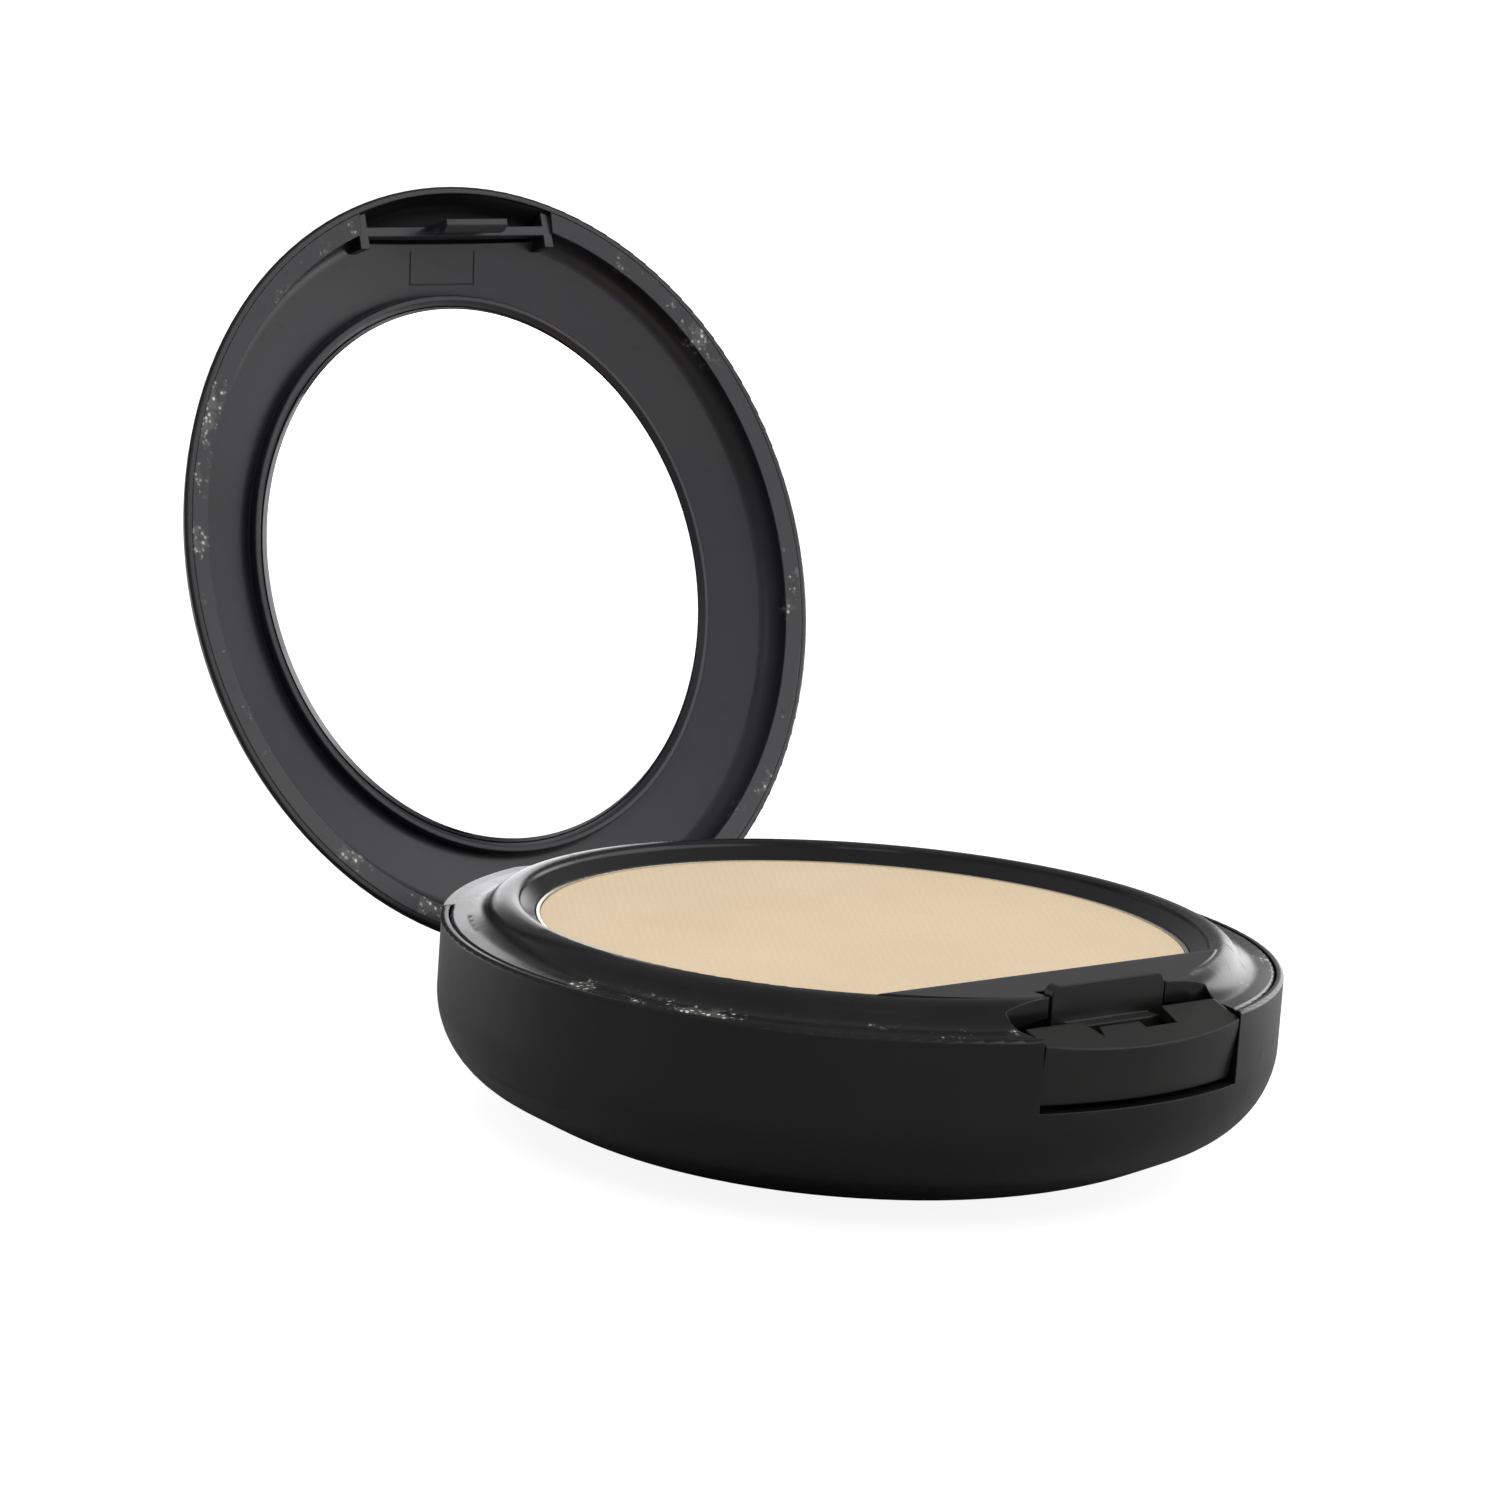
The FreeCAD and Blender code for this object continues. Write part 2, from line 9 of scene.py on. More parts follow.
# %% Load the frame
import bpy
import json
import math
import numpy as np
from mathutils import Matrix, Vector


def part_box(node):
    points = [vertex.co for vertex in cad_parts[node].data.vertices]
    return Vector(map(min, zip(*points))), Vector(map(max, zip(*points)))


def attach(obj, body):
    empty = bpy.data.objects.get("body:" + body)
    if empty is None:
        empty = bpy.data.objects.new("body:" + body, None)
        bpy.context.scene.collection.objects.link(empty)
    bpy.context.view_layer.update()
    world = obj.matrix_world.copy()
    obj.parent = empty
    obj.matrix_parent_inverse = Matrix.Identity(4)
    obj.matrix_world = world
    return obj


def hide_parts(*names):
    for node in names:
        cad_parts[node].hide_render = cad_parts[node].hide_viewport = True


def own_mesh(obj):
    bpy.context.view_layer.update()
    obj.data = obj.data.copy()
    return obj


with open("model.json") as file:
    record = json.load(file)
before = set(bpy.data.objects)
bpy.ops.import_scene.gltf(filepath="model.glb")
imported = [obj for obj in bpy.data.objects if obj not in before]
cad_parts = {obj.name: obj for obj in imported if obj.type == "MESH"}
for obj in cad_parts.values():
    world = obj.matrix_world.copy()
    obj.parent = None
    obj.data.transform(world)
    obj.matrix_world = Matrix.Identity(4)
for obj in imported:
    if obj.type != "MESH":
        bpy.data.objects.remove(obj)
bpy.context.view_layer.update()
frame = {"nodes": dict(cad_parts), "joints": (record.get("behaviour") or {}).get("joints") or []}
nodes = frame["nodes"]
MM = 0.001
print("nodes:", sorted(nodes))

# %% [markdown]
# ## The camera
#
# A long lens about half a metre away, looking slightly down, keeps the round rims close to true
# ellipses. The camera is rolled by a few degrees, as a hand-held or cropped product shot often is.

# %% Camera
CAMERA_PLACE = (-0.32351, -0.34827, 0.12343)
CAMERA_TURN = (79.391, -3.946, -40.789)      # degrees about X, Y and Z
LENS = 129.44


def add_camera():
    data = bpy.data.cameras.new("product_camera")
    data.lens = LENS
    data.sensor_width = 36.0
    data.clip_start, data.clip_end = 0.01, 20.0
    camera = bpy.data.objects.new("product_camera", data)
    camera.location = CAMERA_PLACE
    camera.rotation_euler = [math.radians(a) for a in CAMERA_TURN]
    bpy.context.scene.collection.objects.link(camera)
    bpy.context.scene.camera = camera


add_camera()

# %% [markdown]
# ## Studio
#
# Black mouldings have almost no colour of their own, so their shape is told by what they reflect.
# The room is white to the eye but dimmer in reflections, which keeps the black deep. Soft panels then
# draw the highlights: one fills the mirror, one stands behind on the left for the edge of the tray,
# two hang high on the right and in front, and two small low cards lighten the ends of the bowl. A
# broad soft ceiling lights the table and the powder, and doesn't show in the glossy plastic.
# The table too is white to the eye and dimmer in the plastic, as when a studio hangs a black card.

# %% Floor, world and lights
CENTRE = (0.0, 0.01, 0.02)
ROOM_IN_REFLECTIONS = 0.26
TABLE_IN_REFLECTIONS = 0.24
TABLE_SIZE = 6.0              # half the side of the table, in metres
TABLE_GREY = 0.27             # share of the light that the table scatters
TABLE_GLOW = 0.90             # what it adds of its own, so that it stays white in the shadow
CEILING_STRENGTH = 3.0
CEILING_SPREAD = 100          # degrees


def add_floor():
    size = TABLE_SIZE
    corners = [(-size, -size, 0), (size, -size, 0), (size, size, 0), (-size, size, 0)]
    mesh = bpy.data.meshes.new("studio_floor")
    mesh.from_pydata(corners, [], [(0, 1, 2, 3)])
    floor = bpy.data.objects.new("studio_floor", mesh)
    bpy.context.scene.collection.objects.link(floor)
    material = bpy.data.materials.new("white_table")
    material.use_nodes = True
    tree = material.node_tree
    tree.nodes.clear()
    matt = tree.nodes.new("ShaderNodeBsdfDiffuse")
    glow = tree.nodes.new("ShaderNodeEmission")
    lit = tree.nodes.new("ShaderNodeAddShader")
    dim = tree.nodes.new("ShaderNodeBsdfDiffuse")
    both = tree.nodes.new("ShaderNodeMixShader")
    path = tree.nodes.new("ShaderNodeLightPath")
    end = tree.nodes.new("ShaderNodeOutputMaterial")
    matt.inputs["Color"].default_value = (*[TABLE_GREY] * 3, 1)
    glow.inputs["Strength"].default_value = TABLE_GLOW
    dim.inputs["Color"].default_value = (*[TABLE_IN_REFLECTIONS] * 3, 1)
    tree.links.new(matt.outputs[0], lit.inputs[0])
    tree.links.new(glow.outputs[0], lit.inputs[1])
    tree.links.new(path.outputs["Is Camera Ray"], both.inputs[0])
    tree.links.new(dim.outputs[0], both.inputs[1])
    tree.links.new(lit.outputs[0], both.inputs[2])
    tree.links.new(both.outputs[0], end.inputs["Surface"])
    mesh.materials.append(material)


def add_panel(name, place, aim, size, brightness):
    """Soft panel of a given size and brightness that looks at a point, unseen by the camera itself."""
    data = bpy.data.lights.new(name, "AREA")
    data.shape = "RECTANGLE"
    data.size, data.size_y = size
    data.energy = brightness * math.pi * size[0] * size[1]
    panel = bpy.data.objects.new(name, data)
    panel.location = place
    panel.rotation_euler = (Vector(aim) - Vector(place)).to_track_quat("-Z", "Y").to_euler()
    panel.visible_camera = False
    bpy.context.scene.collection.objects.link(panel)
    print(name, "at", place, "gives", round(data.energy, 1), "W")


def add_ceiling(strength, spread):
    """Very wide sun, which lights the table evenly, but doesn't show in the glossy plastic."""
    data = bpy.data.lights.new("soft_ceiling", "SUN")
    data.energy = strength
    data.angle = math.radians(spread)
    ceiling = bpy.data.objects.new("soft_ceiling", data)
    ceiling.visible_glossy = False
    bpy.context.scene.collection.objects.link(ceiling)


def add_world():
    world = bpy.data.worlds.new("white_room")
    bpy.context.scene.world = world
    world.use_nodes = True
    tree = world.node_tree
    back = tree.nodes["Background"]
    path = tree.nodes.new("ShaderNodeLightPath")
    level = tree.nodes.new("ShaderNodeMapRange")
    level.inputs["To Min"].default_value = ROOM_IN_REFLECTIONS
    level.inputs["To Max"].default_value = 1.0
    tree.links.new(path.outputs["Is Camera Ray"], level.inputs["Value"])
    tree.links.new(level.outputs["Result"], back.inputs["Strength"])
    back.inputs["Color"].default_value = (1.0, 1.0, 1.0, 1)


add_floor()
add_world()
add_ceiling(CEILING_STRENGTH, CEILING_SPREAD)
add_panel("mirror_panel", (0.75, -0.95, 0.50), CENTRE, (1.5, 1.2), 1.15)
add_panel("back_left_panel", (-0.45, 0.80, 0.20), CENTRE, (0.5, 0.35), 1.1)
add_panel("upper_right_panel", (0.80, -0.56, 0.75), CENTRE, (0.6, 0.5), 1.0)
add_panel("upper_front_panel", (-0.50, -0.55, 0.70), CENTRE, (0.35, 0.25), 1.3)
add_panel("low_left_card", (-0.07, 0.15, 0.03), (-0.02, 0.02, 0.01), (0.10, 0.06), 1.7)
add_panel("low_right_card", (0.13, 0.0, 0.03), (0.03, 0.0, 0.01), (0.12, 0.06), 2.1)
bpy.context.scene.view_settings.view_transform = "Standard"

# %% [markdown]
# ## A small vocabulary for materials
#
# Every finish below is a graph of nodes. Two helpers keep the graphs readable: `put` adds a node and
# fills its sockets, either with a value or with a link, and `finish` gives a CAD piece its material.

# %% Graph helpers


def put(tree, kind, sockets=None, **settings):
    """Add a node: settings are its options, and sockets maps inputs to values or outputs."""
    item = tree.nodes.new(kind)
    for name, value in settings.items():
        setattr(item, name, value)
    for name, value in (sockets or {}).items():
        socket = item.inputs[name]
        if isinstance(value, bpy.types.NodeSocket):
            tree.links.new(value, socket)
        else:
            socket.default_value = value
    return item


def new_group(name, inputs, outputs):
    """Empty node group; inputs are (name, type, default) and outputs are (name, type)."""
    tree = bpy.data.node_groups.new(name, "ShaderNodeTree")
    for label, kind, default in inputs:
        socket = tree.interface.new_socket(name=label, in_out="INPUT", socket_type=kind)
        if default is not None:
            socket.default_value = default
    for label, kind in outputs:
        tree.interface.new_socket(name=label, in_out="OUTPUT", socket_type=kind)
    start = tree.nodes.new("NodeGroupInput")
    end = tree.nodes.new("NodeGroupOutput")
    return tree, start.outputs, end.inputs


def use_group(tree, group, sockets):
    return put(tree, "ShaderNodeGroup", sockets, node_tree=group).outputs


def new_material(name, **constants):
    """Material with its Principled shader's constant sockets set; returns tree and shader too."""
    material = bpy.data.materials.new(name)
    material.use_nodes = True
    tree = material.node_tree
    shader = tree.nodes["Principled BSDF"]
    for key, value in constants.items():
        shader.inputs[key.replace("_", " ")].default_value = value
    return material, tree, shader


def object_place(tree):
    return put(tree, "ShaderNodeTexCoord").outputs["Object"]


def finish(material, *names):
    for name in names:
        mesh = nodes[name].data
        mesh.materials.clear()
        mesh.materials.append(material)
    print(material.name, "on", ", ".join(names))


# %% [markdown]
# ## Effects that several finishes share
#
# *Mould grain* is the very fine satin texture of a spark-eroded mould. *Scuffs* are short faint
# scratches. *Powder dust* is what every used compact shows: pale specks that gather on the rims,
# so the mask is a ring of a given radius, broken up by a cloud and filled with small spots. *Cloth
# imprint* is the mark of the fabric through which the powder is pressed: two families of fine
# threads that cross.

# %% Mould grain


def make_mould_grain():
    tree, start, end = new_group(
        "mould_grain",
        [("Place", "NodeSocketVector", None), ("Grains per metre", "NodeSocketFloat", 9000.0)],
        [("Height", "NodeSocketFloat"), ("Tone", "NodeSocketFloat")])
    fine = put(tree, "ShaderNodeTexNoise", {"Vector": start["Place"], "Scale": start["Grains per metre"],
                                            "Detail": 3.0, "Roughness": 0.6})
    broad = put(tree, "ShaderNodeTexNoise", {"Vector": start["Place"], "Scale": 70.0, "Detail": 3.0})
    tree.links.new(fine.outputs["Fac"], end["Height"])
    tree.links.new(broad.outputs["Fac"], end["Tone"])
    return tree


MOULD_GRAIN = make_mould_grain()

# %% Scuffs


def make_scuffs():
    tree, start, end = new_group(
        "scuffs",
        [("Place", "NodeSocketVector", None), ("Scratches per metre", "NodeSocketFloat", 500.0),
         ("Amount", "NodeSocketFloat", 0.3)],
        [("Mask", "NodeSocketFloat")])
    masks = []
    for turn in (0.4, 1.3, 2.5):
        turned = put(tree, "ShaderNodeMapping", {"Vector": start["Place"], "Rotation": (0.3, turn, turn),
                                                 "Scale": (1.0, 0.06, 1.0)})
        threads = put(tree, "ShaderNodeTexNoise", {"Vector": turned.outputs["Vector"],
                                                   "Scale": start["Scratches per metre"], "Detail": 2.0})
        line = put(tree, "ShaderNodeMapRange", {"Value": threads.outputs["Fac"], "From Min": 0.68,
                                                "From Max": 0.76})
        masks.append(line.outputs["Result"])
    both = put(tree, "ShaderNodeMath", {0: masks[0], 1: masks[1]}, operation="MAXIMUM").outputs[0]
    every = put(tree, "ShaderNodeMath", {0: both, 1: masks[2]}, operation="MAXIMUM").outputs[0]
    mask = put(tree, "ShaderNodeMath", {0: every, 1: start["Amount"]}, operation="MULTIPLY")
    tree.links.new(mask.outputs[0], end["Mask"])
    return tree


SCUFFS = make_scuffs()

# %% Powder dust


def make_powder_dust():
    tree, start, end = new_group(
        "powder_dust",
        [("Place", "NodeSocketVector", None), ("Ring radius", "NodeSocketFloat", 0.0355),
         ("Ring width", "NodeSocketFloat", 0.0015), ("Cloud level", "NodeSocketFloat", 0.55),
         ("Specks per metre", "NodeSocketFloat", 1900.0)],
        [("Mask", "NodeSocketFloat")])
    flat = put(tree, "ShaderNodeVectorMath", {0: start["Place"], 1: (1.0, 1.0, 0.0)}, operation="MULTIPLY")
    radius = put(tree, "ShaderNodeVectorMath", {0: flat.outputs[0]}, operation="LENGTH").outputs["Value"]
    off = put(tree, "ShaderNodeMath", {0: radius, 1: start["Ring radius"]}, operation="SUBTRACT").outputs[0]
    far = put(tree, "ShaderNodeMath", {0: off}, operation="ABSOLUTE").outputs[0]
    share = put(tree, "ShaderNodeMath", {0: far, 1: start["Ring width"]}, operation="DIVIDE").outputs[0]
    ring = put(tree, "ShaderNodeMapRange", {"Value": share, "From Min": 1.0,
                                            "From Max": 0.5}).outputs["Result"]
    cloud = put(tree, "ShaderNodeTexNoise", {"Vector": start["Place"], "Scale": 130.0, "Detail": 5.0,
                                             "Roughness": 0.75}).outputs["Fac"]
    over = put(tree, "ShaderNodeMath", {0: cloud, 1: start["Cloud level"]}, operation="SUBTRACT").outputs[0]
    patch = put(tree, "ShaderNodeMapRange", {"Value": over, "From Min": 0.0,
                                             "From Max": 0.08}).outputs["Result"]
    cells = put(tree, "ShaderNodeTexVoronoi", {"Vector": start["Place"], "Scale": start["Specks per metre"]})
    speck = put(tree, "ShaderNodeMapRange", {"Value": cells.outputs["Distance"], "From Min": 0.42,
                                             "From Max": 0.22}).outputs["Result"]
    smear = put(tree, "ShaderNodeMath", {0: speck, 1: 0.10}, operation="MAXIMUM").outputs[0]
    inside = put(tree, "ShaderNodeMath", {0: ring, 1: patch}, operation="MULTIPLY").outputs[0]
    mask = put(tree, "ShaderNodeMath", {0: inside, 1: smear}, operation="MULTIPLY").outputs[0]
    tree.links.new(mask, end["Mask"])
    return tree


POWDER_DUST = make_powder_dust()

# %% Cloth imprint


def make_cloth_imprint():
    tree, start, end = new_group(
        "cloth_imprint",
        [("Place", "NodeSocketVector", None), ("Threads per metre", "NodeSocketFloat", 2600.0)],
        [("Height", "NodeSocketFloat"), ("Tone", "NodeSocketFloat")])
    waves = []
    for turn, drift in ((0.62, 0.6), (0.62 + math.pi / 2, 0.3)):
        turned = put(tree, "ShaderNodeMapping", {"Vector": start["Place"], "Rotation": (0.0, 0.0, turn)})
        wave = put(tree, "ShaderNodeTexWave", {
            "Vector": turned.outputs["Vector"], "Scale": start["Threads per metre"],
            "Distortion": drift, "Detail": 1.0, "Detail Scale": 0.3}, bands_direction="X")
        waves.append(wave.outputs["Fac"])
    weave = put(tree, "ShaderNodeMath", {0: waves[0], 1: waves[1]}, operation="MAXIMUM").outputs[0]
    crumbs = put(tree, "ShaderNodeTexNoise", {"Vector": start["Place"], "Scale": 5200.0, "Detail": 3.0})
    rough = put(tree, "ShaderNodeMath", {0: crumbs.outputs["Fac"], 1: 0.55}, operation="MULTIPLY").outputs[0]
    height = put(tree, "ShaderNodeMath", {0: weave, 1: rough}, operation="ADD").outputs[0]
    tree.links.new(height, end["Height"])
    tree.links.new(weave, end["Tone"])
    return tree


CLOTH_IMPRINT = make_cloth_imprint()

# %% [markdown]
# ## Black plastics
#
# The bowl and the lid are satin black, the tray is moulded in a mould with a finer polish, and the
# liner is a slightly greyer black. They share one recipe: a near-black colour that varies a little,
# grain in the bump, scuffs and dust that raise the roughness, and a Bevel node that rounds the
# moulded edges by a fraction of a millimetre, so that they catch the light.

# %% Plastic recipe
DUST_COLOUR = (0.62, 0.60, 0.56, 1)


def black_plastic(name, colour, roughness, grain, edge, dust=None, place_turn=None, specular=0.5):
    """Black moulded plastic; roughness is (smooth, rough) and dust is (radius, width, level)."""
    material, tree, shader = new_material(name, Specular_IOR_Level=specular)
    place = object_place(tree)
    grains = use_group(tree, MOULD_GRAIN, {"Place": place})
    scuff = use_group(tree, SCUFFS, {"Place": place, "Amount": 0.35})["Mask"]
    lighter = tuple(1.5 * c + 0.0008 for c in colour)
    ramp = put(tree, "ShaderNodeValToRGB", {"Fac": grains["Tone"]})
    ramp.color_ramp.elements[0].position, ramp.color_ramp.elements[1].position = 0.35, 0.7
    ramp.color_ramp.elements[0].color, ramp.color_ramp.elements[1].color = (*colour, 1), (*lighter, 1)
    base = ramp.outputs["Color"]
    rough = put(tree, "ShaderNodeMapRange", {
        "Value": grains["Tone"], "From Min": 0.3, "From Max": 0.7,
        "To Min": roughness[0], "To Max": roughness[1]}).outputs["Result"]
    rough = put(tree, "ShaderNodeMath", {0: scuff, 1: 0.25, 2: rough}, operation="MULTIPLY_ADD").outputs[0]
    if dust:
        spot = place
        if place_turn:
            spot = put(tree, "ShaderNodeMapping", {"Vector": place, **place_turn}).outputs["Vector"]
        mask = use_group(tree, POWDER_DUST, {"Place": spot, "Ring radius": dust[0], "Ring width": dust[1],
                                             "Cloud level": dust[2]})["Mask"]
        mix = put(tree, "ShaderNodeMix", data_type="RGBA")
        tree.links.new(mask, mix.inputs["Factor"])
        tree.links.new(base, mix.inputs[6])
        mix.inputs[7].default_value = DUST_COLOUR
        base = mix.outputs[2]
        rough = put(tree, "ShaderNodeMath", {0: rough, 1: mask}, operation="MAXIMUM").outputs[0]
    soft_edge = put(tree, "ShaderNodeBevel", {"Radius": edge})
    bump = put(tree, "ShaderNodeBump", {"Height": grains["Height"], "Strength": grain, "Distance": 0.00002,
                                        "Normal": soft_edge.outputs["Normal"]})
    tree.links.new(base, shader.inputs["Base Color"])
    tree.links.new(rough, shader.inputs["Roughness"])
    tree.links.new(bump.outputs["Normal"], shader.inputs["Normal"])
    return material


# %% Where the open lid came from
joints = {joint["name"]: joint for joint in frame["joints"]}
lid_hinge = joints["lid_hinge"]
OPEN_TURN = math.radians(-lid_hinge["range_deg"][0])


def closed_place():
    """Mapping that turns the open lid's coordinates back to where they are on the closed compact."""
    _, y, z = lid_hinge["pos_m"]
    c, s = math.cos(OPEN_TURN), math.sin(OPEN_TURN)
    return {"Rotation": (OPEN_TURN, 0.0, 0.0), "Location": (0.0, y - (c * y - s * z), z - (s * y + c * z))}


print("the lid stands", round(math.degrees(OPEN_TURN), 1), "degrees open")

# %% Case, tray, liner and button
SOFT_EDGE = 0.18 * MM
case = black_plastic("case_satin_black", (0.0032, 0.0036, 0.0034), (0.28, 0.36), 0.35, SOFT_EDGE,
                     specular=0.45)
tray = black_plastic("tray_polished_black", (0.004, 0.004, 0.0043), (0.20, 0.28), 0.12, SOFT_EDGE,
                     dust=(36.0 * MM, 1.5 * MM, 0.58))
liner = black_plastic("liner_satin_black", (0.0105, 0.0098, 0.0128), (0.30, 0.42), 0.30, SOFT_EDGE,
                      dust=(35.9 * MM, 1.2 * MM, 0.575), place_turn=closed_place(), specular=0.45)
button = black_plastic("button_satin_black", (0.0062, 0.0060, 0.0055), (0.26, 0.36), 0.35, 0.25 * MM)
finish(case, "base_shell", "lid_shell")
finish(tray, "powder_tray")
finish(liner, "lid_liner")
finish(button, "push_button")

# %% [markdown]
# ## The mirror
#
# A thin disc of silvered glass with a ground edge. Modelling the silver as a metal is enough,
# because the glass in front of it is only a millimetre thick. Real mirrors are never perfectly
# clean, so fingers leave broad, faint changes of roughness.

# %% Mirror


def make_mirror():
    material, tree, shader = new_material("mirror_silver", Metallic=1.0)
    place = object_place(tree)
    touch = put(tree, "ShaderNodeTexNoise", {"Vector": place, "Scale": 95.0, "Detail": 4.0,
                                             "Distortion": 0.8})
    haze = put(tree, "ShaderNodeMapRange", {"Value": touch.outputs["Fac"], "From Min": 0.5, "From Max": 0.8,
                                            "To Min": 0.012, "To Max": 0.07}).outputs["Result"]
    ramp = put(tree, "ShaderNodeValToRGB", {"Fac": touch.outputs["Fac"]})
    ramp.color_ramp.elements[0].color = (0.95, 0.955, 0.965, 1)
    ramp.color_ramp.elements[1].color = (0.90, 0.90, 0.915, 1)
    tree.links.new(ramp.outputs["Color"], shader.inputs["Base Color"])
    tree.links.new(haze, shader.inputs["Roughness"])
    return material


finish(make_mirror(), "mirror")

# %% [markdown]
# ## Metal, tape and label
#
# The pan is pressed from tinplate: bright, with faint rolling lines all one way. The spring and the
# hinge pin are plain steel, and the spring flattens as the button goes in. The tapes and the blank
# label under the foot are hidden while the compact stands on the table.

# %% Metals


def rolled_metal(name, colour, roughness, lines_per_metre, way):
    """Metal with rolling lines: noise stretched along one axis, in the bump and the roughness."""
    material, tree, shader = new_material(name, Metallic=1.0)
    place = object_place(tree)
    along = put(tree, "ShaderNodeMapping", {"Vector": place, "Scale": way}).outputs["Vector"]
    lines = put(tree, "ShaderNodeTexNoise", {"Vector": along, "Scale": lines_per_metre, "Detail": 3.0})
    stain = put(tree, "ShaderNodeTexNoise", {"Vector": place, "Scale": 160.0, "Detail": 3.0})
    rough = put(tree, "ShaderNodeMapRange", {"Value": lines.outputs["Fac"], "To Min": roughness[0],
                                             "To Max": roughness[1]}).outputs["Result"]
    ramp = put(tree, "ShaderNodeValToRGB", {"Fac": stain.outputs["Fac"]})
    ramp.color_ramp.elements[0].color = (*[0.82 * c for c in colour], 1)
    ramp.color_ramp.elements[1].color = (*colour, 1)
    soft_edge = put(tree, "ShaderNodeBevel", {"Radius": 0.06 * MM})
    bump = put(tree, "ShaderNodeBump", {"Height": lines.outputs["Fac"], "Strength": 0.25,
                                        "Distance": 0.00001, "Normal": soft_edge.outputs["Normal"]})
    tree.links.new(ramp.outputs["Color"], shader.inputs["Base Color"])
    tree.links.new(rough, shader.inputs["Roughness"])
    tree.links.new(bump.outputs["Normal"], shader.inputs["Normal"])
    return material


finish(rolled_metal("pan_tinplate", (0.80, 0.79, 0.77), (0.16, 0.34), 4000.0, (1.0, 0.05, 1.0)), "pan")
finish(rolled_metal("spring_steel", (0.46, 0.47, 0.50), (0.20, 0.38), 5000.0, (0.05, 1.0, 1.0)),
       "button_spring", "hinge_pin")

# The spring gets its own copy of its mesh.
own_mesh(nodes["button_spring"])

# %% Tape and label


def papery(name, dark, light, flecks_per_metre, roughness):
    """Matt fibrous sheet: colour between two tones, and a bump of the same flecks."""
    material, tree, shader = new_material(name, Roughness=roughness, Specular_IOR_Level=0.3)
    place = object_place(tree)
    flecks = put(tree, "ShaderNodeTexNoise", {"Vector": place, "Scale": flecks_per_metre, "Detail": 5.0})
    ramp = put(tree, "ShaderNodeValToRGB", {"Fac": flecks.outputs["Fac"]})
    ramp.color_ramp.elements[0].color, ramp.color_ramp.elements[1].color = (*dark, 1), (*light, 1)
    bump = put(tree, "ShaderNodeBump", {"Height": flecks.outputs["Fac"], "Strength": 0.4,
                                        "Distance": 0.00003})
    tree.links.new(ramp.outputs["Color"], shader.inputs["Base Color"])
    tree.links.new(bump.outputs["Normal"], shader.inputs["Normal"])
    return material


finish(papery("tape_white", (0.60, 0.59, 0.56), (0.78, 0.77, 0.74), 900.0, 0.8),
       "mirror_tape", "pan_adhesive")
finish(papery("label_silver_grey", (0.30, 0.30, 0.31), (0.40, 0.40, 0.41), 1500.0, 0.45), "base_label")

# %% [markdown]
# ## A closed surface from rings
#
# The two soft pieces are closed shapes round the vertical axis. Both are grids of rings: a row is
# one step of the profile, a column one angle, and the first and last rows shrink to poles. The grid
# is worked out with whole numpy arrays, and only the poles need triangles.

# %% Closed ring grid


def ring_surface(name, rows, top, bottom):
    """Mesh of a (rows, columns, 3) grid closed round the columns, with a pole above and below."""
    count, around = rows.shape[:2]
    points = np.concatenate([rows.reshape(-1, 3), [top, bottom]])
    here = np.arange(count * around).reshape(count, around)
    beside = np.roll(here, -1, axis=1)
    quads = np.stack([here[:-1], here[1:], beside[1:], beside[:-1]], axis=-1).reshape(-1, 4)
    crown = np.stack([np.full(around, count * around), here[0], beside[0]], axis=-1)
    base = np.stack([np.full(around, count * around + 1), beside[-1], here[-1]], axis=-1)
    mesh = bpy.data.meshes.new(name)
    mesh.from_pydata(points.tolist(), [], quads.tolist() + crown.tolist() + base.tolist())
    mesh.validate()
    mesh.polygons.foreach_set("use_smooth", np.ones(len(mesh.polygons), dtype=bool))
    piece = bpy.data.objects.new(name, mesh)
    bpy.context.scene.collection.objects.link(piece)
    print(name, "has", 2 * len(quads) + 2 * around, "triangles")
    return piece


# %% [markdown]
# ## The pressed powder
#
# Powder is pressed into its pan through a woven cloth, so its face carries the weave, and a hollow
# forms where the puff takes the most. A flat disc would hide both, so the cake is a ring grid over
# the pan's D shape: the distance from the middle to the edge is the smaller of the circle's radius
# and the distance to the straight front, blended so that the two corners are round.

# %% Powder cake
low, high = (np.array(corner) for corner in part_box("powder_cake"))
CAKE_GAP = 0.02 * MM          # keeps the cake off the pan's wall
CAKE_EDGE = 0.20 * MM
IMPRINT_PITCH = 0.80 * MM
IMPRINT_DEPTH = 0.012 * MM
USED_DEPTH = 0.16 * MM
USED_PLACE = (3.0 * MM, -2.0 * MM)
USED_SPREAD = 8.5 * MM
CAKE_FOOT = 0.01 * MM         # lifts the cake's underside off the pan's floor
CORNER_POWER = 60.0           # the higher, the tighter the D's two corners


def d_reach(angle, radius, front):
    """Distance to the D outline: power mean of the circle and the straight front edge."""
    down = np.maximum(-np.sin(angle), 1e-6)
    straight = np.minimum(front / down, 50 * radius)
    return (radius ** -CORNER_POWER + straight ** -CORNER_POWER) ** (-1 / CORNER_POWER)


